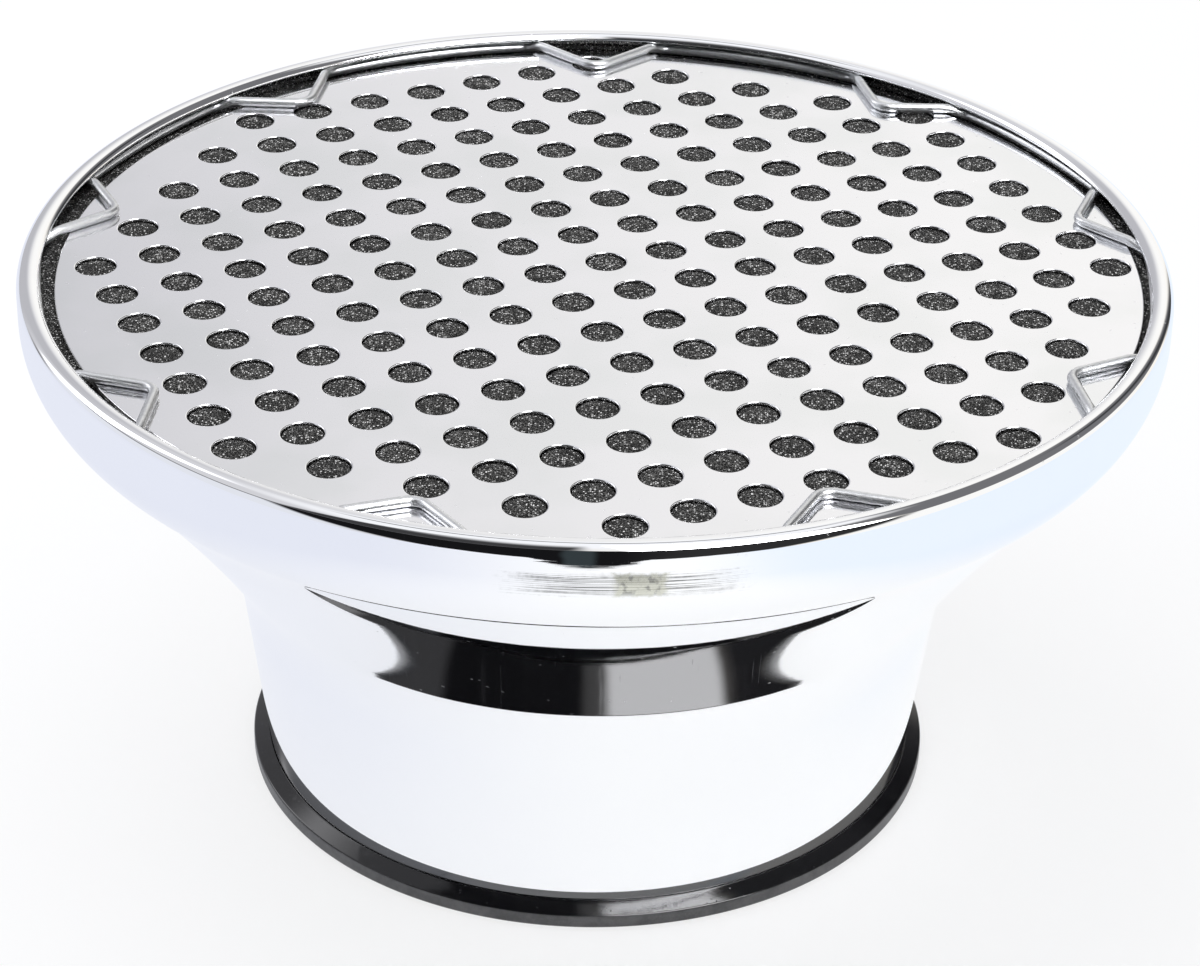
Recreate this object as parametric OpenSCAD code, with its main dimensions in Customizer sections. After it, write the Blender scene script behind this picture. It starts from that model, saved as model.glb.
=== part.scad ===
// Velocity stack air cleaner: a spun chrome funnel on a plastic neck ring, with a foam element
// under a perforated grille that a sprung, jogged wire holds beneath the rolled rim.
// The origin is the centre of the ring's underside, on the floor, with +Z up the funnel's axis.

/* [Funnel] */
// Outside diameter of the rolled rim
rim_d = 228.6; // [224:0.2:236]
// Height of the funnel from the neck's edge to the top of the rim
funnel_h = 110.5; // [106:0.5:120]
// Thickness of the spun sheet
sheet_t = 0.9; // [0.7:0.05:1.1]
// Outside radius of the rim's roll
roll_r = 2.4; // [2.2:0.05:2.8]
// Turn of the roll from the outside wall, over the top and inward, in degrees
roll_turn = 159; // [156:1:163]
// Height of the upright wall below the roll's centre
rim_wall_h = 5.1; // [4:0.1:7]
// Outside radius of the shoulder under the upright wall
shoulder_r = 17.3; // [14:0.1:20]
// Slope from level at the shoulder's lower end, in degrees
shoulder_slope = 43.5; // [41:0.5:46]
// Straight run between the shoulder and the flare
cone_run = 1.6; // [0.5:0.1:4]
// Slope from level at the flare's lower end, in degrees
flare_slope = 61; // [58:0.5:64]
// Outside radius of the bend between the flare and the neck
throat_r = 5.3; // [3:0.1:8]
// Lean of the neck's wall from upright, in degrees
neck_lean = 7.3; // [6:0.1:8.5]

/* [Base ring] */
// Outside diameter of the carburettor's air horn that the ring slips over
horn_d = 130.2; // [124:0.1:137]
// Clearance between the air horn and the ring's bore, on the radius
horn_clear = 0.15; // [0.1:0.05:0.4]
// Thickness of the sleeve's wall at its foot, between the air horn and the neck
sleeve_t = 1.25; // [1:0.05:2]
// Reach of the flange outward past the foot of the neck
flange_reach = 3.5; // [2:0.1:8]
// Thickness of the flange that the neck stands on
flange_t = 3.4; // [2.6:0.1:5]
// Radius of the flange's outer corners
flange_edge_r = 0.7; // [0.3:0.1:1]
// Height of the sleeve that plugs into the neck
sleeve_h = 10; // [7:0.5:16]
// Clearance between the sleeve and the neck, on the radius
sleeve_clear = 0.3; // [0.15:0.05:0.4]

/* [Hold-down bar] */
// Width of the bar across the neck
bar_w = 25.4; // [18:0.2:32]
// Thickness of the bar's strip
bar_t = 2; // [1.6:0.1:2.6]
// Height of the bar's underside above the sleeve's top
bar_lift = 10.6; // [6:0.2:20]
// Height of the tabs turned up against the neck's wall
tab_h = 12; // [8:0.5:16]
// Outside radius of the bends at the tabs
tab_bend_r = 4; // [3:0.5:6]
// Gap between the tabs and the neck's wall
tab_clear = 0.1; // [0.05:0.05:0.2]
// Diameter of the stud hole in the bar's middle
stud_hole_d = 7; // [5.5:0.1:9]

/* [Grille] */
// Gap between the perforated plate's edge and the inner side of the rim's roll
grille_gap = 1.7; // [1.4:0.1:2]
// Thickness of the perforated plate
grille_t = 1; // [0.6:0.1:1.4]
// Sideways place of the plate, which lies a little off the rim's axis
grille_x = 0.8; // [0:0.1:1]
// Diameter of the punched holes
hole_d = 8.1; // [6:0.1:9.5]
// Distance between neighbouring holes
hole_pitch = 13.3; // [12:0.1:16]
// Turn of the rows of holes, in degrees
hole_turn = 25.6; // [0:0.1:89]
// Sideways place of the pattern's first hole on the plate
pattern_x = 1.2; // [0:0.1:2]
// Width of the plate's border outside the round field of hole centres
hole_border = 5.3; // [5:0.1:12]

/* [Foam element] */
// Thickness of the foam
foam_t = 30; // [20:1:40]
// Clearance of the foam to the funnel's wall and to the grille
foam_clear = 0.3; // [0.2:0.05:0.5]

/* [Retainer wire] */
// Diameter of the spring wire
wire_d = 2; // [1.7:0.05:2.1]
// Clearance of the wire to the funnel's wall
wire_clear = 0.2; // [0.1:0.05:0.3]
// Clearance of the wire's jogs above the grille
jog_clear = 0.05; // [0.02:0.01:0.1]
// Clearance of the wire on its way between the grille's edge and the roll's leg
way_clear = 0.08; // [0.05:0.01:0.15]
// Number of inward jogs
jogs = 9; // [6:1:10]
// Turn of the first jog, in degrees
jog_turn = 12.6; // [0:0.1:39]
// Reach of a jog inward from the wire's round stretches
jog_depth = 12.9; // [9:0.1:15]
// Half the angle that a jog takes out of the round, in degrees
jog_half = 7.9; // [6.5:0.1:9]
// Radius of the bends along the wire's middle
bend_r = 3.5; // [2.5:0.1:4.5]
// Depth of the round stretches below the centre of the rim's roll
wire_drop = 1.5; // [1.3:0.05:2]
// Gap between the wire's two ends
wire_gap = 1.5; // [0.5:0.1:4]

/* [Hidden] */
$fn = 96;

roll_steps = 12;
shoulder_steps = 8;
flare_steps = 12;
throat_steps = 4;
corner_steps = 4;
bend_steps = 6;
wire_arc_steps = 8;
wire_sides = 10;
past = 1;

// The neck's outside follows from the air horn, the ring's sleeve and the sheet
bore_r = horn_d / 2 + horn_clear;
neck_d = 2 * (bore_r + sleeve_t + sleeve_clear + sheet_t / cos(neck_lean));
neck_z = flange_t;
rim_r = rim_d / 2;
roll_z = neck_z + funnel_h - roll_r;
wall_z = roll_z - rim_wall_h;
neck_slope = 90 - neck_lean;
sleeve_top = flange_t + sleeve_h;
bar_z = sleeve_top + bar_lift;

// The grille lies as high as leaves the wire its way out under the leg of the roll
leg_end = [rim_r - roll_r + roll_r * cos(roll_turn), roll_z + roll_r * sin(roll_turn)];
grille_r = rim_r - 2 * roll_r - grille_gap;
way_side = leg_end.x - grille_r - grille_x;
grille_top = leg_end.y - sqrt(pow(wire_d + 2 * way_clear, 2) - way_side * way_side);
grille_z = grille_top - grille_t;
wire_r = rim_r - sheet_t - wire_clear - wire_d / 2;
wire_low = roll_z - wire_drop;
wire_high = grille_top + jog_clear + wire_d / 2;

// Unit vector that points out of the funnel's wall where it slopes by a degrees from level
function outward(a) = [sin(a), -cos(a)];
// Unit vector that runs down the funnel's wall where it slopes by a degrees from level
function downward(a) = [-cos(a), -sin(a)];
// Points of a round stretch about a centre
function arc(centre, r, from, to, steps) =
    [for (k = [0:steps]) let (a = from + (to - from) * k / steps) centre + r * [cos(a), sin(a)]];
// Points of a hollow stretch of the wall, from one slope to another
function hollow(centre, r, from, to, steps) =
    [for (k = [0:steps]) centre - r * outward(from + (to - from) * k / steps)];

// The funnel's outside: shoulder, short cone, flare, small bend and leaning neck, all tangent
shoulder_c = [rim_r - shoulder_r, wall_z];
cone_top = shoulder_c + shoulder_r * outward(shoulder_slope);
cone_end = cone_top + cone_run * downward(shoulder_slope);
neck_end = [neck_d / 2, neck_z];
neck_dir = downward(neck_slope);
// The flare's radius is the one that lets its bend run straight into the neck
flare_r = -(cross(cone_end - neck_end, neck_dir)
    + throat_r * cross(outward(flare_slope) - outward(neck_slope), neck_dir))
    / cross(outward(shoulder_slope) - outward(flare_slope), neck_dir);
flare_c = cone_end + flare_r * outward(shoulder_slope);
throat_c = flare_c - (flare_r - throat_r) * outward(flare_slope);

// The wall's profile below the roll, moved inward by the given depth
function wall_line(depth) = concat(
    [[rim_r - depth, roll_z]],
    arc(shoulder_c, shoulder_r - depth, 0, shoulder_slope - 90, shoulder_steps),
    hollow(flare_c, flare_r + depth, shoulder_slope, flare_slope, flare_steps),
    hollow(throat_c, throat_r + depth, flare_slope, neck_slope, throat_steps),
    [[neck_r(neck_z, depth), neck_z]]);
// Radius of the neck's wall at a height, moved inward by the given depth
function neck_r(z, depth) = neck_d / 2 + (z - neck_z) * tan(neck_lean) - depth / cos(neck_lean);

// Turns a list from back to front
function reversed(list) = [for (k = [len(list) - 1:-1:0]) list[k]];

module funnel() {
    roll_c = [rim_r - roll_r, roll_z];
    outside = concat(reversed(arc(roll_c, roll_r, 0, roll_turn, roll_steps)), wall_line(0));
    inside = concat(reversed(arc(roll_c, roll_r - sheet_t, 0, roll_turn, roll_steps)), wall_line(sheet_t));
    color("gainsboro")
        rotate_extrude()
            polygon(concat(outside, reversed(inside)));
}

module base_ring() {
    edge_r = neck_d / 2 + flange_reach - flange_edge_r;
    color("#17171a")
        rotate_extrude()
            polygon(concat(
                [[bore_r, 0]],
                arc([edge_r, flange_edge_r], flange_edge_r, -90, 0, corner_steps),
                arc([edge_r, flange_t - flange_edge_r], flange_edge_r, 0, 90, corner_steps),
                [[neck_r(flange_t, sheet_t) - sleeve_clear, flange_t],
                 [neck_r(sleeve_top, sheet_t) - sleeve_clear, sleeve_top],
                 [bore_r, sleeve_top]]));
}

// The strip is cut from a shallow dish whose turned-up rim leans with the neck's wall
module hold_down_bar() {
    depth = sheet_t + tab_clear;
    bend_end = [neck_r(bar_z + tab_bend_r, depth), bar_z + tab_bend_r];
    bend_c = [bend_end.x - tab_bend_r / cos(neck_lean), bend_end.y];
    tab_top = bar_z + tab_h;
    color("darkgray")
        difference() {
            intersection() {
                rotate_extrude()
                    polygon(concat(
                        [[0, bar_z]],
                        arc(bend_c, tab_bend_r, -90, -neck_lean, bend_steps),
                        [[neck_r(tab_top, depth), tab_top], [neck_r(tab_top, depth + bar_t), tab_top]],
                        arc(bend_c, tab_bend_r - bar_t, -neck_lean, -90, bend_steps),
                        [[0, bar_z + bar_t]]));
                translate([-rim_r, -bar_w / 2, 0])
                    cube([rim_d, bar_w, roll_z]);
            }
            translate([0, 0, bar_z - past])
                cylinder(d = stud_hole_d, h = bar_t + 2 * past);
        }
}

// The foam fills the bowl under the grille, and the wire presses a rebate into its top edge
module foam_element() {
    foam_top = grille_z - foam_clear;
    color("#2b2824")
        rotate_extrude()
            difference() {
                intersection() {
                    polygon(concat([[0, roll_z]], wall_line(sheet_t + foam_clear), [[0, neck_z]]));
                    translate([0, foam_top - foam_t])
                        square([rim_r, foam_t]);
                }
                translate([wire_r, wire_low] - (wire_d / 2 + foam_clear) * [1, 1])
                    square([wire_r, foam_t]);
            }
}

module perforated_grille() {
    field_r = grille_r - hole_border;
    reach = ceil(field_r / hole_pitch);
    color("silver")
        translate([grille_x, 0, grille_z])
            linear_extrude(grille_t)
                difference() {
                    circle(r = grille_r);
                    translate([pattern_x, 0])
                        rotate(hole_turn)
                            for (i = [-reach:reach], j = [-reach:reach])
                                if (norm([i, j]) * hole_pitch <= field_r)
                                    translate([i, j] * hole_pitch)
                                        circle(d = hole_d);
                }
}

// The wire runs round beneath the roll. At each jog it passes halfway between the leg and the
// grille's edge, and then lies on the grille from a step inward
way_mid = (leg_end + [grille_r + grille_x, grille_top]) / 2;
way_share = (wire_high - way_mid.y) / (wire_high - wire_low);
step_r = (way_mid.x - way_share * wire_r) / (1 - way_share);
jog_pitch = 360 / jogs;

function unit(v) = v / norm(v);
function turned(v, a) = [v.x * cos(a) - v.y * sin(a), v.x * sin(a) + v.y * cos(a)];
// Height of the wire's middle at a distance from the axis
function wire_z(r) = r < step_r ? wire_high
    : wire_high + (wire_low - wire_high) * min(1, (r - step_r) / (wire_r - step_r));
// Points of a round bend at a corner, between the directions that come in and go out
function bend(corner, from, to) =
    let (turn = acos(from * to), side = sign(cross(from, to)),
         start = corner - from * bend_r * tan(turn / 2),
         centre = start + side * bend_r * [-from.y, from.x])
    [for (k = [0:bend_steps]) centre + turned(start - centre, side * turn * k / bend_steps)];

// One jog that points at the axis, as bends at its two feet and its tip
foot = wire_r * [cos(jog_half), sin(jog_half)];
tip_bend = bend_r / sin(atan2(foot.y, foot.x - wire_r + jog_depth)) - bend_r;
tip = [wire_r - jog_depth - tip_bend, 0];
jog_out = unit(foot - tip);
jog_in = [-jog_out.x, jog_out.y];
foot_dir = [-sin(jog_half), cos(jog_half)];
tip_run = tip * jog_out;
step_point = tip + (sqrt(step_r * step_r - tip * tip + tip_run * tip_run) - tip_run) * jog_out;
jog_line = concat(
    bend([foot.x, -foot.y], [-foot_dir.x, foot_dir.y], jog_in),
    [[step_point.x, -step_point.y]],
    bend(tip, jog_in, jog_out),
    [step_point],
    bend(foot, jog_out, foot_dir));
foot_end = atan2(jog_line[len(jog_line) - 1].y, jog_line[len(jog_line) - 1].x);

// The whole wire, from one end to the other, in the middle of a round stretch
first_jog = jog_turn - 2 * jog_pitch;
end_angle = first_jog - jog_pitch / 2;
gap_half = asin(wire_gap / 2 / wire_r);
function round_line(from, to) = [for (k = [1:wire_arc_steps - 1])
    wire_r * [cos(from + (to - from) * k / wire_arc_steps), sin(from + (to - from) * k / wire_arc_steps)]];
wire_plan = concat(
    [wire_r * [cos(end_angle + gap_half), sin(end_angle + gap_half)]],
    round_line(end_angle + gap_half, first_jog - foot_end),
    [for (k = [0:jogs - 1], p = concat(
        [for (q = jog_line) turned(q, first_jog + k * jog_pitch)],
        k == jogs - 1 ? [] : round_line(first_jog + k * jog_pitch + foot_end,
                                        first_jog + (k + 1) * jog_pitch - foot_end))) p],
    round_line(first_jog - jog_pitch + foot_end, end_angle - gap_half),
    [wire_r * [cos(end_angle - gap_half), sin(end_angle - gap_half)]]);
wire_path = [for (p = wire_plan) [p.x, p.y, wire_z(norm(p))]];

// A round bar swept along a path of points that turns mostly in the level plane
module rod(path, d, sides) {
    last = len(path) - 1;
    rings = [for (k = [0:last])
        let (ahead = unit(path[min(k + 1, last)] - path[max(k - 1, 0)]),
             side = unit(cross(ahead, [0, 0, 1])),
             up = cross(side, ahead))
        for (s = [0:sides - 1]) path[k] + d / 2 * (cos(360 * s / sides) * side + sin(360 * s / sides) * up)];
    skin = [for (k = [0:last - 1], s = [0:sides - 1])
        let (a = k * sides + s, b = k * sides + (s + 1) % sides)
        each [[a, a + sides, b + sides], [a, b + sides, b]]];
    front = [for (s = [0:sides - 1]) s];
    back = [for (s = [sides - 1:-1:0]) last * sides + s];
    polyhedron(points = rings, faces = concat([front], skin, [back]));
}

module retainer_wire() {
    color("lightgray")
        rod(wire_path, wire_d, wire_sides);
}

funnel();
base_ring();
hold_down_bar();
foam_element();
perforated_grille();
retainer_wire();
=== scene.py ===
import bpy
import math
from mathutils import Euler, Matrix, Vector
from mathutils.geometry import interpolate_bezier


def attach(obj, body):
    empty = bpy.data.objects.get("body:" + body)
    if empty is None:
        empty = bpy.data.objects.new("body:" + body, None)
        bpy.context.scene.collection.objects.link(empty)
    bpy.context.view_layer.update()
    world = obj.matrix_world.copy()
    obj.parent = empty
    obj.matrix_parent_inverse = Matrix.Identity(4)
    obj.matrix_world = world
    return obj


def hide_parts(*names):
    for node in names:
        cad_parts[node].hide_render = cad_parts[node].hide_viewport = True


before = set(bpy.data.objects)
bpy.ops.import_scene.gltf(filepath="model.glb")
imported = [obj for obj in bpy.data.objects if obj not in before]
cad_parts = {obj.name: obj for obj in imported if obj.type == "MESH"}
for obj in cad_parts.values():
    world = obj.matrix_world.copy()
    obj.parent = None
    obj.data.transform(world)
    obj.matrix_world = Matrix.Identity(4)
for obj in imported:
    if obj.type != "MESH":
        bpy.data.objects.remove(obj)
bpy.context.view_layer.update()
mm = 0.001
print("frame loaded:", sorted(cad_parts))


# small helpers for meshes and node trees

def linkObject(name, mesh):
    obj = bpy.data.objects.new(name, mesh)
    bpy.context.scene.collection.objects.link(obj)
    return obj


def lineObject(name, points, closed):
    # a chain of edges through points given in millimetres
    count = len(points)
    edges = [(k, (k + 1) % count) for k in range(count if closed else count - 1)]
    mesh = bpy.data.meshes.new(name)
    mesh.from_pydata([Vector(p) * mm for p in points], edges, [])
    return linkObject(name, mesh)


def addNode(tree, kind, settings=None, **inputs):
    # settings are the node's own options, and inputs are links or plain values by socket name
    node = tree.nodes.new(kind)
    for key, value in (settings or {}).items():
        setattr(node, key, value)
    for key, value in inputs.items():
        feed(tree, node, key.replace("_", " "), value)
    return node


def feed(tree, node, key, value):
    if isinstance(key, str):
        usable = [s for s in node.inputs if s.name == key and s.enabled]
        socket = usable[0]
    else:
        socket = node.inputs[key]
    if isinstance(value, bpy.types.NodeSocket):
        tree.links.new(value, socket)
    elif isinstance(value, bpy.types.Node):
        tree.links.new(value.outputs[0], socket)
    else:
        socket.default_value = value


def doMath(tree, operation, *values, clamp=False):
    node = tree.nodes.new("ShaderNodeMath")
    node.operation = operation
    node.use_clamp = clamp
    for k, value in enumerate(values):
        feed(tree, node, k, value)
    return node.outputs[0]


def rampBetween(tree, value, low, high, toLow=0.0, toHigh=1.0):
    # a smooth step of a value between two limits
    node = addNode(tree, "ShaderNodeMapRange", {"interpolation_type": "SMOOTHSTEP"}, Value=value)
    for key, number in (("From Min", low), ("From Max", high), ("To Min", toLow), ("To Max", toHigh)):
        node.inputs[key].default_value = number
    return node.outputs[0]


def newTree(name, kind, inputs, outputs):
    tree = bpy.data.node_groups.new(name, kind)
    for label, socketType, default in inputs:
        socket = tree.interface.new_socket(label, in_out="INPUT", socket_type=socketType)
        if default is not None:
            socket.default_value = default
    for label, socketType in outputs:
        tree.interface.new_socket(label, in_out="OUTPUT", socket_type=socketType)
    return tree, tree.nodes.new("NodeGroupInput"), tree.nodes.new("NodeGroupOutput")


def bake(obj, tree, name, values):
    # runs a geometry tree on an object once and keeps the result as a plain mesh
    modifier = obj.modifiers.new("build", "NODES")
    modifier.node_group = tree
    for item in tree.interface.items_tree:
        if item.item_type == "SOCKET" and item.in_out == "INPUT" and item.name in values:
            modifier[item.identifier] = values[item.name]
    graph = bpy.context.evaluated_depsgraph_get()
    mesh = bpy.data.meshes.new_from_object(obj.evaluated_get(graph), depsgraph=graph)
    obj.modifiers.remove(modifier)
    bpy.data.objects.remove(obj)
    mesh.name = name
    made = linkObject(name, mesh)
    print(f"{name}: {len(mesh.polygons)} faces")
    return made


# profiles

def polar(angle, radius=1.0):
    return Vector((math.cos(math.radians(angle)), math.sin(math.radians(angle)))) * radius


def arcLine(centre, radius, start, end, steps):
    return [centre + polar(start + (end - start) * k / steps, radius) for k in range(steps + 1)]


def straightLine(start, end, guard=0.3, gap=8.0):
    # points close to both ends hold the shading still, and the rest share out the run
    run = (end - start).length
    way = (end - start) / run
    count = max(1, round((run - 2 * guard) / gap))
    inner = [start + way * (guard + (run - 2 * guard) * k / count) for k in range(count + 1)]
    return [start, *inner, end]


def roundOutline(corners, steps=5, guard=0.12):
    # corners are (x, z, radius); each round corner gets a guard point on both sides
    line = []
    for k, (x, z, radius) in enumerate(corners):
        here = Vector((x, z))
        before = (Vector(corners[k - 1][:2]) - here).normalized()
        after = (Vector(corners[(k + 1) % len(corners)][:2]) - here).normalized()
        if radius == 0:
            line.append(here)
            continue
        half = before.angle(after) / 2
        reach = radius / math.tan(half)
        centre = here + (before + after).normalized() * radius / math.sin(half)
        first = (here + before * reach) - centre
        last = (here + after * reach) - centre
        turn = first.angle_signed(last)
        line.append(here + before * (reach + guard))
        for s in range(steps + 1):
            line.append(centre + Matrix.Rotation(-turn * s / steps, 2) @ first)
        line.append(here + after * (reach + guard))
    return line


# geometry trees

def buildSpinTree():
    # turns an outline in the XZ plane round the Z axis
    tree, given, result = newTree(
        "spinOutline", "GeometryNodeTree",
        [("Outline", "NodeSocketGeometry", None), ("Steps Round", "NodeSocketInt", 256),
         ("Closed", "NodeSocketInt", 1), ("Finish", "NodeSocketMaterial", None)],
        [("Mesh", "NodeSocketGeometry")])
    size = addNode(tree, "GeometryNodeAttributeDomainSize", None, Geometry=given.outputs["Outline"])
    count = size.outputs["Point Count"]
    rows = doMath(tree, "ADD", count, given.outputs["Closed"])
    columns = doMath(tree, "ADD", given.outputs["Steps Round"], 1.0)
    grid = addNode(tree, "GeometryNodeMeshGrid", None, Vertices_X=columns, Vertices_Y=rows)
    index = addNode(tree, "GeometryNodeInputIndex")
    column = doMath(tree, "FLOOR", doMath(tree, "DIVIDE", doMath(tree, "ADD", index.outputs[0], 0.5), rows))
    row = doMath(tree, "SUBTRACT", index.outputs[0], doMath(tree, "MULTIPLY", column, rows))
    point = doMath(tree, "MODULO", row, count)
    place = addNode(tree, "GeometryNodeInputPosition")
    sample = addNode(tree, "GeometryNodeSampleIndex", {"data_type": "FLOAT_VECTOR", "domain": "POINT"},
                     Geometry=given.outputs["Outline"], Value=place, Index=point)
    angle = doMath(tree, "DIVIDE", doMath(tree, "MULTIPLY", column, math.tau), given.outputs["Steps Round"])
    turned = addNode(tree, "ShaderNodeVectorRotate", {"rotation_type": "Z_AXIS"}, Vector=sample, Angle=angle)
    moved = addNode(tree, "GeometryNodeSetPosition", None, Geometry=grid, Position=turned)
    merged = addNode(tree, "GeometryNodeMergeByDistance", None, Geometry=moved, Distance=0.002 * mm)
    smooth = addNode(tree, "GeometryNodeSetShadeSmooth", None, Geometry=merged)
    finish = addNode(tree, "GeometryNodeSetMaterial", None, Geometry=smooth, Material=given.outputs["Finish"])
    tree.links.new(finish.outputs[0], result.inputs[0])
    return tree


patternInputs = [
    ("Pitch", "NodeSocketFloat", 0.01), ("Row Turn", "NodeSocketFloat", 0.0),
    ("Field Radius", "NodeSocketFloat", 0.1), ("Rows Across", "NodeSocketInt", 17),
    ("Pattern Place", "NodeSocketVector", None)]


def buildPatternTree():
    # the centres of the punched holes: a square grid, turned, inside a round field
    tree, given, result = newTree("holePattern", "GeometryNodeTree", patternInputs,
                                  [("Points", "NodeSocketGeometry")])
    g = given.outputs
    across = doMath(tree, "MULTIPLY", g["Pitch"], doMath(tree, "SUBTRACT", g["Rows Across"], 1.0))
    grid = addNode(tree, "GeometryNodeMeshGrid", None, Size_X=across, Size_Y=across,
                   Vertices_X=g["Rows Across"], Vertices_Y=g["Rows Across"])
    place = addNode(tree, "GeometryNodeInputPosition")
    far = addNode(tree, "ShaderNodeVectorMath", {"operation": "LENGTH"}, Vector=place)
    outside = addNode(tree, "FunctionNodeCompare", {"data_type": "FLOAT", "operation": "GREATER_THAN"},
                      A=far.outputs["Value"], B=g["Field Radius"])
    centres = addNode(tree, "GeometryNodeDeleteGeometry", {"domain": "POINT"},
                      Geometry=grid.outputs["Mesh"], Selection=outside)
    turn = addNode(tree, "ShaderNodeCombineXYZ", None, Z=g["Row Turn"])
    laid = addNode(tree, "GeometryNodeTransform", None, Geometry=centres,
                   Translation=g["Pattern Place"], Rotation=turn)
    points = addNode(tree, "GeometryNodeMeshToPoints", None, Mesh=laid)
    tree.links.new(points.outputs[0], result.inputs[0])
    return tree


def patternPoints(tree, pattern, given):
    values = {label.replace(" ", "_"): given[label] for label, socketType, default in patternInputs}
    return addNode(tree, "GeometryNodeGroup", {"node_tree": pattern}, **values)


def crownOffset(tree, crown, radius):
    # lifts what lies inside a radius by a crown that runs out level at that radius
    place = addNode(tree, "GeometryNodeInputPosition")
    flat = addNode(tree, "ShaderNodeVectorMath", {"operation": "MULTIPLY"}, Vector=place)
    flat.inputs[1].default_value = (1, 1, 0)
    far = addNode(tree, "ShaderNodeVectorMath", {"operation": "LENGTH"}, Vector=flat)
    share = doMath(tree, "POWER", doMath(tree, "DIVIDE", far.outputs["Value"], radius), 2.0)
    fall = doMath(tree, "POWER", doMath(tree, "SUBTRACT", 1.0, share, clamp=True), 2.0)
    rise = doMath(tree, "MULTIPLY", crown, fall)
    return addNode(tree, "ShaderNodeCombineXYZ", None, Z=rise).outputs[0]


def buildPlateTree(spin, pattern):
    # a round plate, crowned a little, with a rounded lip at every hole
    tree, given, result = newTree(
        "punchedPlate", "GeometryNodeTree",
        [("Lip", "NodeSocketGeometry", None), ("Edge", "NodeSocketObject", None), *patternInputs,
         ("Plate Place", "NodeSocketVector", None), ("Crown", "NodeSocketFloat", 0.001),
         ("Crown Radius", "NodeSocketFloat", 0.1),
         ("Cut Radius", "NodeSocketFloat", 0.004), ("Face Radius", "NodeSocketFloat", 0.1),
         ("Thickness", "NodeSocketFloat", 0.001), ("Lip Steps", "NodeSocketInt", 24),
         ("Edge Steps", "NodeSocketInt", 256), ("Finish", "NodeSocketMaterial", None)],
        [("Mesh", "NodeSocketGeometry")])
    g = given.outputs
    points = patternPoints(tree, pattern, g)
    # the flat faces fill the space between the hole circles and the plate's edge
    hole = addNode(tree, "GeometryNodeCurvePrimitiveCircle", None,
                   Resolution=g["Lip Steps"], Radius=g["Cut Radius"])
    holes = addNode(tree, "GeometryNodeInstanceOnPoints", None, Points=points, Instance=hole)
    border = addNode(tree, "GeometryNodeCurvePrimitiveCircle", None,
                     Resolution=g["Edge Steps"], Radius=g["Face Radius"])
    circles = tree.nodes.new("GeometryNodeJoinGeometry")
    tree.links.new(addNode(tree, "GeometryNodeRealizeInstances", None, Geometry=holes).outputs[0], circles.inputs[0])
    tree.links.new(border.outputs[0], circles.inputs[0])
    flat = addNode(tree, "GeometryNodeFillCurve", None, Curve=circles)
    upper = addNode(tree, "ShaderNodeCombineXYZ", None, Z=g["Thickness"])
    top = addNode(tree, "GeometryNodeTransform", None, Geometry=flat, Translation=upper)
    under = addNode(tree, "GeometryNodeFlipFaces", None, Mesh=flat)
    faces = tree.nodes.new("GeometryNodeJoinGeometry")
    tree.links.new(top.outputs[0], faces.inputs[0])
    tree.links.new(under.outputs[0], faces.inputs[0])
    hard = addNode(tree, "GeometryNodeSetShadeSmooth", None, Geometry=faces, Shade_Smooth=False)
    # the lips and the plate's edge are small spun rings
    lip = addNode(tree, "GeometryNodeGroup", {"node_tree": spin}, Outline=g["Lip"],
                  Steps_Round=g["Lip Steps"], Closed=0)
    lips = addNode(tree, "GeometryNodeInstanceOnPoints", None, Points=points, Instance=lip)
    edgeLine = addNode(tree, "GeometryNodeObjectInfo", None, Object=g["Edge"])
    edge = addNode(tree, "GeometryNodeGroup", {"node_tree": spin}, Outline=edgeLine.outputs["Geometry"],
                   Steps_Round=g["Edge Steps"], Closed=0)
    together = tree.nodes.new("GeometryNodeJoinGeometry")
    for part in (hard, addNode(tree, "GeometryNodeRealizeInstances", None, Geometry=lips), edge):
        tree.links.new(part.outputs[0], together.inputs[0])
    merged = addNode(tree, "GeometryNodeMergeByDistance", None, Geometry=together, Distance=0.01 * mm)
    crowned = addNode(tree, "GeometryNodeSetPosition", None, Geometry=merged,
                      Offset=crownOffset(tree, g["Crown"], g["Crown Radius"]))
    put = addNode(tree, "GeometryNodeTransform", None, Geometry=crowned, Translation=g["Plate Place"])
    real = addNode(tree, "GeometryNodeRealizeInstances", None, Geometry=put)
    finish = addNode(tree, "GeometryNodeSetMaterial", None, Geometry=real, Material=g["Finish"])
    tree.links.new(finish.outputs[0], result.inputs[0])
    return tree


def buildWireTree():
    # sweeps a round section along a chain of edges
    tree, given, result = newTree(
        "sweptWire", "GeometryNodeTree",
        [("Path", "NodeSocketGeometry", None), ("Wire Radius", "NodeSocketFloat", 0.001),
         ("Sides", "NodeSocketInt", 16), ("Finish", "NodeSocketMaterial", None)],
        [("Mesh", "NodeSocketGeometry")])
    path = addNode(tree, "GeometryNodeMeshToCurve", None, Mesh=given.outputs["Path"])
    section = addNode(tree, "GeometryNodeCurvePrimitiveCircle", None,
                      Resolution=given.outputs["Sides"], Radius=given.outputs["Wire Radius"])
    swept = addNode(tree, "GeometryNodeCurveToMesh", None, Curve=path, Profile_Curve=section, Fill_Caps=True)
    smooth = addNode(tree, "GeometryNodeSetShadeSmooth", None, Geometry=swept)
    real = addNode(tree, "GeometryNodeRealizeInstances", None, Geometry=smooth)
    finish = addNode(tree, "GeometryNodeSetMaterial", None, Geometry=real, Material=given.outputs["Finish"])
    tree.links.new(finish.outputs[0], result.inputs[0])
    return tree


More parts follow.
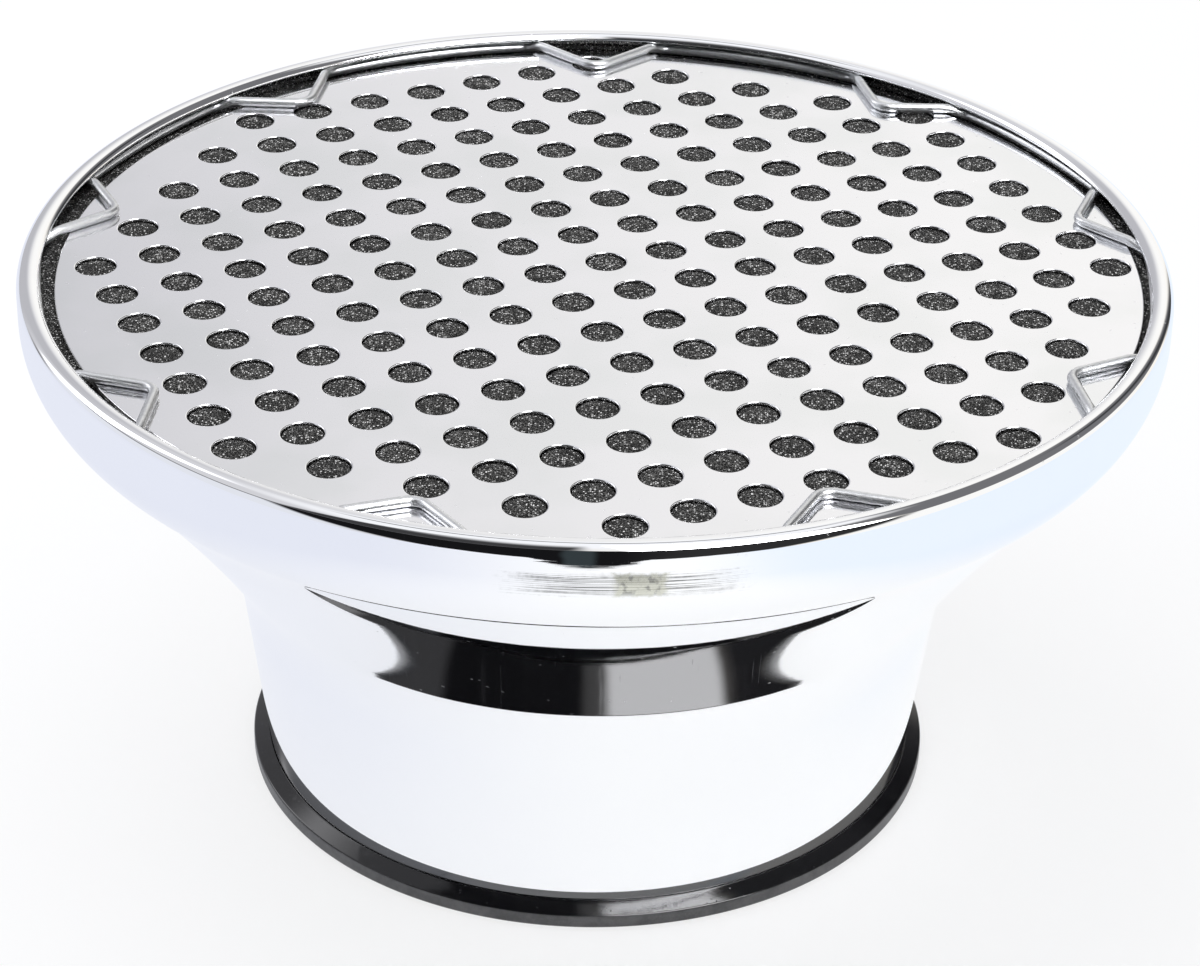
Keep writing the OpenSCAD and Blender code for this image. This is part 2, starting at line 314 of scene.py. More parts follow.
def buildFoamTree(spin, pattern):
    # spins the foam's outline, lets a tuft bulge into every hole of the plate, and roughens the skin
    tree, given, result = newTree(
        "foamBlock", "GeometryNodeTree",
        [("Outline", "NodeSocketGeometry", None), ("Tuft", "NodeSocketObject", None), *patternInputs,
         ("Tuft Steps", "NodeSocketInt", 16), ("Top Place", "NodeSocketVector", None),
         ("Crown", "NodeSocketFloat", 0.001), ("Crown Radius", "NodeSocketFloat", 0.1),
         ("Steps Round", "NodeSocketInt", 256), ("Lump Size", "NodeSocketFloat", 0.004),
         ("Lump Depth", "NodeSocketFloat", 0.0002), ("Seed", "NodeSocketInt", 4),
         ("Finish", "NodeSocketMaterial", None)],
        [("Mesh", "NodeSocketGeometry")])
    g = given.outputs
    block = addNode(tree, "GeometryNodeGroup", {"node_tree": spin}, Outline=g["Outline"],
                    Steps_Round=g["Steps Round"], Closed=0)
    tuftLine = addNode(tree, "GeometryNodeObjectInfo", None, Object=g["Tuft"])
    tuft = addNode(tree, "GeometryNodeGroup", {"node_tree": spin}, Outline=tuftLine.outputs["Geometry"],
                   Steps_Round=g["Tuft Steps"], Closed=0)
    height = addNode(tree, "FunctionNodeRandomValue", {"data_type": "FLOAT"}, Min=0.8, Max=1.08, Seed=g["Seed"])
    scale = addNode(tree, "ShaderNodeCombineXYZ", None, X=1.0, Y=1.0, Z=height.outputs[1])
    tufts = addNode(tree, "GeometryNodeInstanceOnPoints", None, Points=patternPoints(tree, pattern, g),
                    Instance=tuft, Scale=scale)
    crowned = addNode(tree, "GeometryNodeSetPosition", None,
                      Geometry=addNode(tree, "GeometryNodeRealizeInstances", None, Geometry=tufts),
                      Offset=crownOffset(tree, g["Crown"], g["Crown Radius"]))
    laid = addNode(tree, "GeometryNodeTransform", None, Geometry=crowned, Translation=g["Top Place"])
    together = tree.nodes.new("GeometryNodeJoinGeometry")
    for part in (block, laid):
        tree.links.new(part.outputs[0], together.inputs[0])
    noise = addNode(tree, "ShaderNodeTexNoise", None, Scale=doMath(tree, "DIVIDE", 1.0, g["Lump Size"]),
                    Detail=2.0)
    normal = addNode(tree, "GeometryNodeInputNormal")
    depth = doMath(tree, "MULTIPLY", doMath(tree, "SUBTRACT", noise.outputs[0], 1.0), g["Lump Depth"])
    shift = addNode(tree, "ShaderNodeVectorMath", {"operation": "SCALE"}, Vector=normal, Scale=depth)
    moved = addNode(tree, "GeometryNodeSetPosition", None, Geometry=together, Offset=shift)
    real = addNode(tree, "GeometryNodeRealizeInstances", None, Geometry=moved)
    finish = addNode(tree, "GeometryNodeSetMaterial", None, Geometry=real, Material=g["Finish"])
    tree.links.new(finish.outputs[0], result.inputs[0])
    return tree


spinTree = buildSpinTree()
patternTree = buildPatternTree()
plateTree = buildPlateTree(spinTree, patternTree)
wireTree = buildWireTree()
foamTree = buildFoamTree(spinTree, patternTree)
print("geometry trees built")


# effects that several materials share

def buildLatheLines():
    # fine rings left by the spinning roller, as a value about 0.5
    tree, given, result = newTree(
        "latheLines", "ShaderNodeTree",
        [("Lines Per Metre", "NodeSocketFloat", 3000.0), ("Drift", "NodeSocketFloat", 2.0)],
        [("Lines", "NodeSocketFloat")])
    spot = addNode(tree, "ShaderNodeTexCoord").outputs["Object"]
    axes = addNode(tree, "ShaderNodeSeparateXYZ", None, Vector=spot)
    across = doMath(tree, "SQRT", doMath(tree, "ADD", doMath(tree, "POWER", axes.outputs[0], 2.0),
                                         doMath(tree, "POWER", axes.outputs[1], 2.0)))
    x = doMath(tree, "MULTIPLY", across, given.outputs["Lines Per Metre"])
    z = doMath(tree, "MULTIPLY", axes.outputs[2], given.outputs["Lines Per Metre"])
    sway = addNode(tree, "ShaderNodeTexNoise", None, Vector=spot, Scale=9.0, Detail=1.0)
    y = doMath(tree, "MULTIPLY", sway.outputs[0], given.outputs["Drift"])
    rings = addNode(tree, "ShaderNodeCombineXYZ", None, X=x, Y=y, Z=z)
    noise = addNode(tree, "ShaderNodeTexNoise", None, Vector=rings, Scale=1.0, Detail=3.0, Roughness=0.6)
    tree.links.new(noise.outputs[0], result.inputs[0])
    return tree


def buildDust():
    # specks and a thin uneven film, thicker on faces that look up
    tree, given, result = newTree(
        "dustFilm", "ShaderNodeTree",
        [("Speck Scale", "NodeSocketFloat", 900.0), ("Speck Share", "NodeSocketFloat", 0.1),
         ("Film", "NodeSocketFloat", 0.2)],
        [("Specks", "NodeSocketFloat"), ("Haze", "NodeSocketFloat")])
    spot = addNode(tree, "ShaderNodeTexCoord").outputs["Object"]
    cells = addNode(tree, "ShaderNodeTexVoronoi", None, Vector=spot, Scale=given.outputs["Speck Scale"])
    near = doMath(tree, "LESS_THAN", cells.outputs["Distance"], 0.22)
    tone = addNode(tree, "ShaderNodeSeparateXYZ", None, Vector=cells.outputs["Color"])
    chosen = doMath(tree, "LESS_THAN", tone.outputs[0], given.outputs["Speck Share"])
    up = addNode(tree, "ShaderNodeSeparateXYZ", None,
                 Vector=addNode(tree, "ShaderNodeNewGeometry").outputs["Normal"])
    facing = rampBetween(tree, up.outputs[2], -0.2, 0.9, 0.25, 1.0)
    specks = doMath(tree, "MULTIPLY", doMath(tree, "MULTIPLY", near, chosen), facing)
    cloud = addNode(tree, "ShaderNodeTexNoise", None, Vector=spot, Scale=60.0, Detail=5.0, Roughness=0.65)
    haze = doMath(tree, "MULTIPLY", rampBetween(tree, cloud.outputs[0], 0.35, 0.75),
                  doMath(tree, "MULTIPLY", facing, given.outputs["Film"]))
    tree.links.new(specks, result.inputs[0])
    tree.links.new(haze, result.inputs[1])
    return tree


latheLines = buildLatheLines()
dustFilm = buildDust()


def startMaterial(name, color, metallic, roughness):
    material = bpy.data.materials.new(name)
    material.use_nodes = True
    tree = material.node_tree
    shader = tree.nodes["Principled BSDF"]
    shader.inputs["Base Color"].default_value = (*color, 1.0)
    shader.inputs["Metallic"].default_value = metallic
    shader.inputs["Roughness"].default_value = roughness
    material.diffuse_color = (*color, 1.0)
    return material, tree, shader


def mixColor(tree, share, first, second):
    node = addNode(tree, "ShaderNodeMix", {"data_type": "RGBA"})
    feed(tree, node, 0, share)
    for k, value in ((6, first), (7, second)):
        feed(tree, node, k, (*value, 1.0) if isinstance(value, tuple) else value)
    return node.outputs[2]


def addBump(tree, shader, height, strength, distance):
    bump = addNode(tree, "ShaderNodeBump", None, Height=height, Strength=strength, Distance=distance)
    tree.links.new(bump.outputs[0], shader.inputs["Normal"])


def chromeFinish():
    # plating over spun steel: near mirror, faint lathe rings, dust, and one dull patch with dark streaks at the front
    look = {
        "plating": (0.97, 0.975, 0.985), "hazeTone": (0.90, 0.90, 0.92),
        "roughness": 0.004, "lineRoughness": 0.008, "hazeRoughness": 0.03,
        "patchPlace": (9.1, 106.2), "patchSize": (4.8, 2.4), "streakSize": (20.0, 2.4), "streakShift": 3.0,
        "streakDark": (0.04, 0.04, 0.04), "patchSpeck": (0.22, 0.22, 0.18), "patchPale": (0.60, 0.60, 0.50),
    }
    material, tree, shader = startMaterial("chromePlating", look["plating"], 1.0, look["roughness"])
    lines = addNode(tree, "ShaderNodeGroup", {"node_tree": latheLines}, Lines_Per_Metre=2600.0, Drift=3.0)
    dust = addNode(tree, "ShaderNodeGroup", {"node_tree": dustFilm},
                   Speck_Scale=700.0, Speck_Share=0.03, Film=0.25)
    spot = addNode(tree, "ShaderNodeTexCoord").outputs["Object"]
    axes = addNode(tree, "ShaderNodeSeparateXYZ", None, Vector=spot)
    # the front patch: a dull blocky spot with dark specks, and level dark streaks to both sides of it
    sideways = doMath(tree, "SUBTRACT", axes.outputs[0], look["patchPlace"][0] * mm)
    upward = doMath(tree, "SUBTRACT", axes.outputs[2], look["patchPlace"][1] * mm)
    front = doMath(tree, "LESS_THAN", axes.outputs[1], 0.0)
    ragged = addNode(tree, "ShaderNodeTexNoise", None, Vector=spot, Scale=900.0, Detail=2.0)
    frayed = doMath(tree, "MULTIPLY_ADD", ragged.outputs[0], 0.5, -0.25)

    def boxShare(size, shift, low, high):
        # how far outside a box a point lies, with a frayed edge
        across = doMath(tree, "ADD", sideways, shift * mm)
        out = doMath(tree, "MAXIMUM",
                     doMath(tree, "ABSOLUTE", doMath(tree, "DIVIDE", across, size[0] * mm)),
                     doMath(tree, "ABSOLUTE", doMath(tree, "DIVIDE", upward, size[1] * mm)))
        inside = rampBetween(tree, doMath(tree, "ADD", out, frayed), low, high, 1.0, 0.0)
        return doMath(tree, "MULTIPLY", inside, front)

    streakSpot = addNode(tree, "ShaderNodeMapping", None, Vector=spot, Scale=(45.0, 45.0, 5500.0))
    streakNoise = addNode(tree, "ShaderNodeTexNoise", None, Vector=streakSpot, Scale=1.0, Detail=1.0)
    streakShare = doMath(tree, "MULTIPLY", boxShare(look["streakSize"], look["streakShift"], 0.35, 1.15),
                       rampBetween(tree, streakNoise.outputs[0], 0.47, 0.55))
    middle = boxShare(look["patchSize"], 0.0, 0.7, 1.15)
    speckled = rampBetween(tree, ragged.outputs[0], 0.45, 0.68)
    patchTone = mixColor(tree, speckled, look["patchPale"], look["patchSpeck"])
    hazed = mixColor(tree, dust.outputs["Haze"], look["plating"], look["hazeTone"])
    streaked = mixColor(tree, doMath(tree, "MULTIPLY", streakShare, 0.85), hazed, look["streakDark"])
    color = mixColor(tree, doMath(tree, "MULTIPLY", middle, 0.75), streaked, patchTone)
    tree.links.new(color, shader.inputs["Base Color"])
    rough = doMath(tree, "MULTIPLY_ADD", lines, look["lineRoughness"], look["roughness"])
    rough = doMath(tree, "MULTIPLY_ADD", dust.outputs["Haze"], look["hazeRoughness"], rough)
    rough = doMath(tree, "MULTIPLY_ADD", dust.outputs["Specks"], 0.35, rough)
    rough = doMath(tree, "MULTIPLY_ADD", middle, 0.12, rough, clamp=True)
    tree.links.new(rough, shader.inputs["Roughness"])
    addBump(tree, shader, lines, 0.06, 0.01 * mm)
    return material


def grilleFinish():
    # flat plated sheet: a soft mirror with faint clouds and handling marks
    look = {"plating": (0.93, 0.93, 0.95), "cloudTone": (0.88, 0.89, 0.90), "roughness": 0.08}
    material, tree, shader = startMaterial("grillePlating", look["plating"], 1.0, look["roughness"])
    spot = addNode(tree, "ShaderNodeTexCoord").outputs["Object"]
    cloud = addNode(tree, "ShaderNodeTexNoise", None, Vector=spot, Scale=38.0, Detail=3.0)
    dust = addNode(tree, "ShaderNodeGroup", {"node_tree": dustFilm},
                   Speck_Scale=800.0, Speck_Share=0.04, Film=0.35)
    tone = mixColor(tree, rampBetween(tree, cloud.outputs[0], 0.4, 0.65), look["plating"], look["cloudTone"])
    tree.links.new(tone, shader.inputs["Base Color"])
    rolled = addNode(tree, "ShaderNodeMapping", None, Vector=spot, Rotation=(0, 0, 0.45), Scale=(40.0, 2500.0, 40.0))
    grain = addNode(tree, "ShaderNodeTexNoise", None, Vector=rolled, Scale=1.0, Detail=2.0)
    rough = doMath(tree, "MULTIPLY_ADD", grain.outputs[0], 0.04, look["roughness"] - 0.02)
    rough = doMath(tree, "MULTIPLY_ADD", dust.outputs["Haze"], 0.12, rough)
    rough = doMath(tree, "MULTIPLY_ADD", dust.outputs["Specks"], 0.3, rough, clamp=True)
    tree.links.new(rough, shader.inputs["Roughness"])
    wave = addNode(tree, "ShaderNodeTexNoise", None, Vector=spot, Scale=30.0, Detail=1.0)
    height = doMath(tree, "MULTIPLY_ADD", grain.outputs[0], 0.02, wave.outputs[0])
    addBump(tree, shader, height, 0.5, 0.05 * mm)
    return material


def wireFinish():
    # drawn spring wire, plated, with fine lengthwise marks
    look = {"plating": (0.74, 0.75, 0.76), "markTone": (0.62, 0.63, 0.64), "roughness": 0.34}
    material, tree, shader = startMaterial("wirePlating", look["plating"], 1.0, look["roughness"])
    spot = addNode(tree, "ShaderNodeTexCoord").outputs["Object"]
    marks = addNode(tree, "ShaderNodeTexNoise", None, Vector=spot, Scale=900.0, Detail=4.0, Roughness=0.7)
    share = rampBetween(tree, marks.outputs[0], 0.45, 0.75)
    tree.links.new(mixColor(tree, share, look["plating"], look["markTone"]), shader.inputs["Base Color"])
    tree.links.new(doMath(tree, "MULTIPLY_ADD", share, 0.1, look["roughness"]), shader.inputs["Roughness"])
    addBump(tree, shader, marks.outputs[0], 0.05, 0.02 * mm)
    return material


def plasticFinish():
    # glossy black moulding with a fine skin, turning marks, dust, light scuffs, and a painted grey sheen on the upright
    # edge
    look = {"black": (0.004, 0.004, 0.005), "scuffTone": (0.018, 0.018, 0.02), "roughness": 0.06,
            "edgeSheen": (0.045, 0.045, 0.047), "edgeSheenPale": (0.085, 0.085, 0.088)}
    material, tree, shader = startMaterial("ringPlastic", look["black"], 0.0, look["roughness"])
    shader.inputs["IOR"].default_value = 1.54
    spot = addNode(tree, "ShaderNodeTexCoord").outputs["Object"]
    lines = addNode(tree, "ShaderNodeGroup", {"node_tree": latheLines}, Lines_Per_Metre=1500.0, Drift=6.0)
    dust = addNode(tree, "ShaderNodeGroup", {"node_tree": dustFilm},
                   Speck_Scale=1100.0, Speck_Share=0.08, Film=0.35)
    scuff = addNode(tree, "ShaderNodeTexNoise", None, Vector=spot, Scale=220.0, Detail=6.0, Roughness=0.75)
    worn = doMath(tree, "MULTIPLY", rampBetween(tree, scuff.outputs[0], 0.52, 0.72), 0.5)
    share = doMath(tree, "ADD", doMath(tree, "MULTIPLY", dust.outputs["Haze"], 0.35),
                   doMath(tree, "ADD", worn, dust.outputs["Specks"]), clamp=True)
    # the upright edge of the flange is rougher than its turned top, and its paler tone there is a painted sheen
    facing = addNode(tree, "ShaderNodeSeparateXYZ", None, Vector=addNode(tree, "ShaderNodeNewGeometry").outputs["Normal"])
    upright = rampBetween(tree, doMath(tree, "ABSOLUTE", facing.outputs[2]), 0.35, 0.7, 1.0, 0.0)
    # painted sheen: upright faces get a paler grey than the black top
    edgeSheen = mixColor(tree, rampBetween(tree, scuff.outputs[0], 0.35, 0.65), look["edgeSheen"], look["edgeSheenPale"])
    scuffed = mixColor(tree, share, look["black"], look["scuffTone"])
    tree.links.new(mixColor(tree, upright, scuffed, edgeSheen), shader.inputs["Base Color"])
    rough = doMath(tree, "MULTIPLY_ADD", share, 0.2, look["roughness"] - 0.02)
    rough = doMath(tree, "MULTIPLY_ADD", upright, 0.3, rough)
    rough = doMath(tree, "MULTIPLY_ADD", lines, 0.04, rough, clamp=True)
    tree.links.new(rough, shader.inputs["Roughness"])
    height = doMath(tree, "MULTIPLY_ADD", scuff.outputs[0], 0.5, lines)
    addBump(tree, shader, height, 0.06, 0.02 * mm)
    return material


def foamFinish():
    # open cells: thin brownish-black struts round pores painted near-black as shade in the cells, with white specks
    # painted in as glints
    look = {"strut": (0.24, 0.237, 0.232), "poreShade": (0.004, 0.004, 0.004), "glint": (1.0, 1.0, 1.0),
            "cellsPerMetre": 1800.0, "sparksPerMetre": 2500.0}
    material, tree, shader = startMaterial("openFoam", look["strut"], 0.0, 0.45)
    shader.inputs["Specular IOR Level"].default_value = 0.2
    spot = addNode(tree, "ShaderNodeTexCoord").outputs["Object"]
    warp = addNode(tree, "ShaderNodeTexNoise", None, Vector=spot, Scale=1400.0, Detail=2.0)
    push = addNode(tree, "ShaderNodeVectorMath", {"operation": "SCALE"}, Vector=warp.outputs["Color"],
                   Scale=0.0004)
    bent = addNode(tree, "ShaderNodeVectorMath", {"operation": "ADD"}, Vector=spot)
    tree.links.new(push.outputs[0], bent.inputs[1])
    cells = addNode(tree, "ShaderNodeTexVoronoi", {"feature": "DISTANCE_TO_EDGE"}, Vector=bent.outputs[0],
                    Scale=look["cellsPerMetre"])
    strut = rampBetween(tree, cells.outputs["Distance"], 0.02, 0.12, 1.0, 0.0)
    tuft = addNode(tree, "ShaderNodeTexNoise", None, Vector=spot, Scale=420.0, Detail=3.0)
    lit = doMath(tree, "MULTIPLY", strut, rampBetween(tree, tuft.outputs[0], 0.3, 0.7, 0.35, 1.0))
    # white specks in the base colour are painted glints on the struts
    sparks = addNode(tree, "ShaderNodeTexVoronoi", None, Vector=spot, Scale=look["sparksPerMetre"])
    sparkTone = addNode(tree, "ShaderNodeSeparateXYZ", None, Vector=sparks.outputs["Color"])
    spark = doMath(tree, "MULTIPLY", rampBetween(tree, sparkTone.outputs[0], 0.05, 0.36, 1.0, 0.0),
                   doMath(tree, "LESS_THAN", sparks.outputs["Distance"], 0.42))
    # the near-black between the struts is painted shade in the open cells
    base = mixColor(tree, lit, look["poreShade"], look["strut"])
    tree.links.new(mixColor(tree, spark, base, look["glint"]), shader.inputs["Base Color"])
    tree.links.new(doMath(tree, "MULTIPLY_ADD", lit, -0.25, 0.75), shader.inputs["Roughness"])
    addBump(tree, shader, strut, 0.9, 0.35 * mm)
    return material


def zincFinish():
    # plated strip: fine grain along the bar, small crystals and a few stains
    look = {"zinc": (0.60, 0.60, 0.59), "stain": (0.42, 0.41, 0.38), "roughness": 0.32}
    material, tree, shader = startMaterial("barZinc", look["zinc"], 1.0, look["roughness"])
    spot = addNode(tree, "ShaderNodeTexCoord").outputs["Object"]
    drawn = addNode(tree, "ShaderNodeMapping", None, Vector=spot, Scale=(60.0, 3000.0, 3000.0))
    grain = addNode(tree, "ShaderNodeTexNoise", None, Vector=drawn, Scale=1.0, Detail=3.0)
    crystal = addNode(tree, "ShaderNodeTexVoronoi", None, Vector=spot, Scale=260.0)
    tone = addNode(tree, "ShaderNodeSeparateXYZ", None, Vector=crystal.outputs["Color"])
    cloud = addNode(tree, "ShaderNodeTexNoise", None, Vector=spot, Scale=90.0, Detail=4.0)
    share = doMath(tree, "MULTIPLY_ADD", tone.outputs[0], 0.2, rampBetween(tree, cloud.outputs[0], 0.5, 0.75, 0.0, 0.7))
    tree.links.new(mixColor(tree, share, look["zinc"], look["stain"]), shader.inputs["Base Color"])
    rough = doMath(tree, "MULTIPLY_ADD", grain.outputs[0], 0.25, look["roughness"] - 0.12)
    tree.links.new(doMath(tree, "MULTIPLY_ADD", share, 0.15, rough, clamp=True), shader.inputs["Roughness"])
    addBump(tree, shader, grain.outputs[0], 0.3, 0.03 * mm)
    return material


chrome = chromeFinish()
grilleChrome = grilleFinish()
wireSteel = wireFinish()
blackPlastic = plasticFinish()
openFoam = foamFinish()
zinc = zincFinish()
print("materials built")


# funnel

funnelForm = {
    "rimDiameter": 228.6, "height": 110.5, "sheet": 0.9,
    "rollRadius": 2.4, "rollTurn": 159.0, "rimWall": 5.1,
    "shoulderRadius": 17.3, "shoulderSlope": 43.5, "coneRun": 1.6,
    "flareSlope": 56.8, "flareSplit": 50.5, "flareRatio": 2.4, "throatRadius": 38.0,
    "neckDiameter": 135.41, "neckLean": 7.3, "neckFoot": 3.4,
    "stepsRound": 384,
}
rimRadius = funnelForm["rimDiameter"] / 2
rollHeight = funnelForm["neckFoot"] + funnelForm["height"] - funnelForm["rollRadius"]
neckLean = funnelForm["neckLean"]


def outward(slope):
    return Vector((math.sin(math.radians(slope)), -math.cos(math.radians(slope))))


def neckRadius(z, depth):
    lean = math.radians(neckLean)
    return (funnelForm["neckDiameter"] / 2 + (z - funnelForm["neckFoot"]) * math.tan(lean)
            - depth / math.cos(lean))


def wallLine(depth, foot):
    # the wall from its foot up to the middle of the roll, moved inward by a depth
    form = funnelForm
    steep = 90 - neckLean
    shoulder = Vector((rimRadius - form["shoulderRadius"], rollHeight - form["rimWall"]))
    coneTop = shoulder + form["shoulderRadius"] * outward(form["shoulderSlope"])
    run = math.radians(form["shoulderSlope"])
    coneEnd = coneTop - form["coneRun"] * Vector((math.cos(run), math.sin(run)))
    neckEnd = Vector((form["neckDiameter"] / 2, form["neckFoot"]))
    neckWay = Vector((-math.cos(math.radians(steep)), -math.sin(math.radians(steep))))
    bendWay = outward(form["flareSlope"]) - outward(steep)
    # the flare is two arcs: a flatter one below, then a rounder one up to the shoulder
    ratio, split = form["flareRatio"], outward(form["flareSplit"])
    flareWay = ratio * (split - outward(form["flareSlope"])) + outward(form["shoulderSlope"]) - split
    upperRadius = -((coneEnd - neckEnd).cross(neckWay) + form["throatRadius"] * bendWay.cross(neckWay))
    upperRadius /= flareWay.cross(neckWay)
    lowerRadius = ratio * upperRadius
    upper = coneEnd + upperRadius * outward(form["shoulderSlope"])
    lower = upper + (lowerRadius - upperRadius) * split
    throat = lower - (lowerRadius - form["throatRadius"]) * outward(form["flareSlope"])

    def hollow(centre, radius, low, high, steps):
        return [centre - (radius + depth) * outward(low + (high - low) * k / steps) for k in range(steps + 1)]

    bend = hollow(throat, form["throatRadius"], steep, form["flareSlope"], 20)
    sweep = hollow(lower, lowerRadius, form["flareSlope"], form["flareSplit"], 16)
    sweep += hollow(upper, upperRadius, form["flareSplit"], form["shoulderSlope"], 12)[1:]
    curl = arcLine(shoulder, form["shoulderRadius"] - depth, form["shoulderSlope"] - 90, 0, 26)
    start = Vector((neckRadius(foot, depth), foot))
    rim = straightLine(curl[-1], Vector((rimRadius - depth, rollHeight)), 0.2, 2.0)
    return straightLine(start, bend[0], 0.2, 6.0) + bend[1:] + sweep[1:] + curl + rim[1:]


def buildFunnel():
    form = funnelForm
    sheet = form["sheet"]
    roll = Vector((rimRadius - form["rollRadius"], rollHeight))
    # the sheet's own edges are rounded, so the arcs stop half a thickness short
    turn = form["rollTurn"] - math.degrees(sheet / 2 / (form["rollRadius"] - sheet / 2))
    foot = form["neckFoot"] + sheet / 2
    over = arcLine(roll, form["rollRadius"], 0, turn, 36)
    under = arcLine(roll, form["rollRadius"] - sheet, turn, 0, 30)
    lip = arcLine(roll + polar(turn, form["rollRadius"] - sheet / 2), sheet / 2, turn, turn + 180, 8)
    inner = wallLine(sheet, foot)
    inner.reverse()
    edge = arcLine(Vector((neckRadius(foot, sheet / 2), foot)), sheet / 2, 180 - neckLean, 360 - neckLean, 8)
    outline = wallLine(0, foot) + over[1:] + lip[1:-1] + under + inner[1:] + edge[1:-1]
    line = lineObject("funnelLine", [(p.x, 0, p.y) for p in outline], True)
    made = bake(line, spinTree, "spun_funnel",
                {"Steps Round": form["stepsRound"], "Closed": 1, "Finish": chrome})
    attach(made, "root")
    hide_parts("funnel")
    return made


funnel = buildFunnel()


# black ring under the neck

ringForm = {
    "hornDiameter": 130.2, "hornClearance": 0.15, "flangeDiameter": 142.4, "flangeThickness": 3.4,
    "flangeRound": 0.6, "sleeveHeight": 10.0, "sleeveClearance": 0.3, "stepsRound": 256,
    "lipHeight": 1.2, "lipGap": 0.1, "edgeDrop": 0.5,
}


def buildRing():
    form = ringForm
    bore = form["hornDiameter"] / 2 + form["hornClearance"]
    flat = form["flangeThickness"]
    top = flat + form["sleeveHeight"]
    sleeve = [neckRadius(z, funnelForm["sheet"]) - form["sleeveClearance"] for z in (flat, top)]
    # the flange rises to a low lip round the neck's foot, and its top falls from there to the edge
    lipTop = flat + form["lipHeight"]
    lip = [neckRadius(z, 0) + form["lipGap"] for z in (flat, lipTop)]
    edge = form["flangeDiameter"] / 2
    outline = roundOutline([
        (bore, 0, 0.3), (edge, 0, form["flangeRound"]), (edge, flat - form["edgeDrop"], form["flangeRound"]),
        (lip[1], lipTop, 0.15), (lip[0], flat, 0.05), (sleeve[0], flat, 0.2),
        (sleeve[1], top, 0.4), (bore, top, 0.4)], guard=0.08)
    line = lineObject("ringLine", [(p.x, 0, p.y) for p in outline], True)
    made = bake(line, spinTree, "neck_ring",
                {"Steps Round": form["stepsRound"], "Closed": 1, "Finish": blackPlastic})
    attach(made, "root")
    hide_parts("base_ring")
    return made


ring = buildRing()


# retainer wire and the heights that it shares with the grille

wireForm = {
    "diameter": 2.0, "wallClearance": 0.2, "wayClearance": 0.08, "jogClearance": 0.05,
    "jogs": 9, "jogTurn": 12.6, "jogDepth": 12.9, "jogHalf": 7.9, "bendRadius": 3.5,
    "straightness": 0.85, "drop": 1.5, "endGap": 1.5, "sides": 18, "bendSteps": 9, "runSteps": 24,
    # the jogs were bent by hand, so each is turned and set a little deeper or shallower
    "turns": (2.0, 1.5, 0.8, -0.5, -1.9, -2.2, -3.5, 2.0, -0.2),
    "depths": (0.0, -1.3, -2.3, -0.5, 1.3, 0.8, -0.9, 0.0, -1.3),
}
plateForm = {
    "edgeGap": 1.7, "thickness": 1.0, "sideways": 0.8, "crown": 1.15, "crownRadius": 106.0,
    "holeDiameter": 8.1, "pitch": 13.3,
    "rowTurn": 25.6, "patternSideways": 1.2, "border": 5.3,
    "lipRadius": 0.28, "underRadius": 0.1, "lipSteps": 28, "edgeSteps": 256,
}
legEnd = Vector((rimRadius - funnelForm["rollRadius"], rollHeight)) + polar(funnelForm["rollTurn"], funnelForm["rollRadius"])
plateRadius = rimRadius - 2 * funnelForm["rollRadius"] - plateForm["edgeGap"]
wayAcross = legEnd.x - plateRadius - plateForm["sideways"]
plateTop = legEnd.y - math.sqrt((wireForm["diameter"] + 2 * wireForm["wayClearance"]) ** 2 - wayAcross ** 2)
wireRadius = rimRadius - funnelForm["sheet"] - wireForm["wallClearance"] - wireForm["diameter"] / 2
wireLow = rollHeight - wireForm["drop"]
wireHigh = plateTop + wireForm["jogClearance"] + wireForm["diameter"] / 2
wayMiddle = (legEnd + Vector((plateRadius + plateForm["sideways"], plateTop))) / 2
wayShare = (wireHigh - wayMiddle.y) / (wireHigh - wireLow)
stepRadius = (wayMiddle.x - wayShare * wireRadius) / (1 - wayShare)
runLean = wireForm["straightness"] * (180 / wireForm["jogs"] - wireForm["jogHalf"])


def wireHeight(radius):
    # on the grille inside the step, then down to the wall
    share = min(1.0, max(0.0, (radius - stepRadius) / (wireRadius - stepRadius)))
    return wireHigh + (wireLow - wireHigh) * share


def bendLine(corner, into, onward):
    form = wireForm
    turn = into.angle_signed(onward)
    start = corner - into * form["bendRadius"] * math.tan(abs(turn) / 2)
    side = 1 if turn < 0 else -1
    centre = start + side * form["bendRadius"] * Vector((-into.y, into.x))
    steps = form["bendSteps"]
    return [centre + Matrix.Rotation(-turn * k / steps, 2) @ (start - centre) for k in range(steps + 1)]


def jogLine(depth):
    # one jog about the X axis, from foot to foot; its feet already lean towards the straight runs
    form = wireForm
    foot = polar(form["jogHalf"], wireRadius)
    rise = math.atan2(foot.y, foot.x - wireRadius + depth)
    tip = Vector((wireRadius - depth - form["bendRadius"] / math.sin(rise) + form["bendRadius"], 0))
    outWay = (foot - tip).normalized()
    inWay = Vector((-outWay.x, outWay.y))
    footWay = polar(form["jogHalf"] + 90 + runLean)
    feet = bendLine(Vector((foot.x, -foot.y)), Vector((-footWay.x, footWay.y)), inWay)
    middle = bendLine(tip, inWay, outWay)
    ends = bendLine(foot, outWay, footWay)
    armIn = [feet[-1].lerp(middle[0], k / 12) for k in range(1, 12)]
    armOut = [middle[-1].lerp(ends[0], k / 12) for k in range(1, 12)]
    return feet + armIn + middle + armOut + ends


def runLine(start, startWay, end, endWay):
    # the nearly straight run between two jogs, without its two ends
    third = (end - start).length / 3
    line = interpolate_bezier(start, start + startWay * third, end - endWay * third, end, wireForm["runSteps"])
    return line[1:-1]


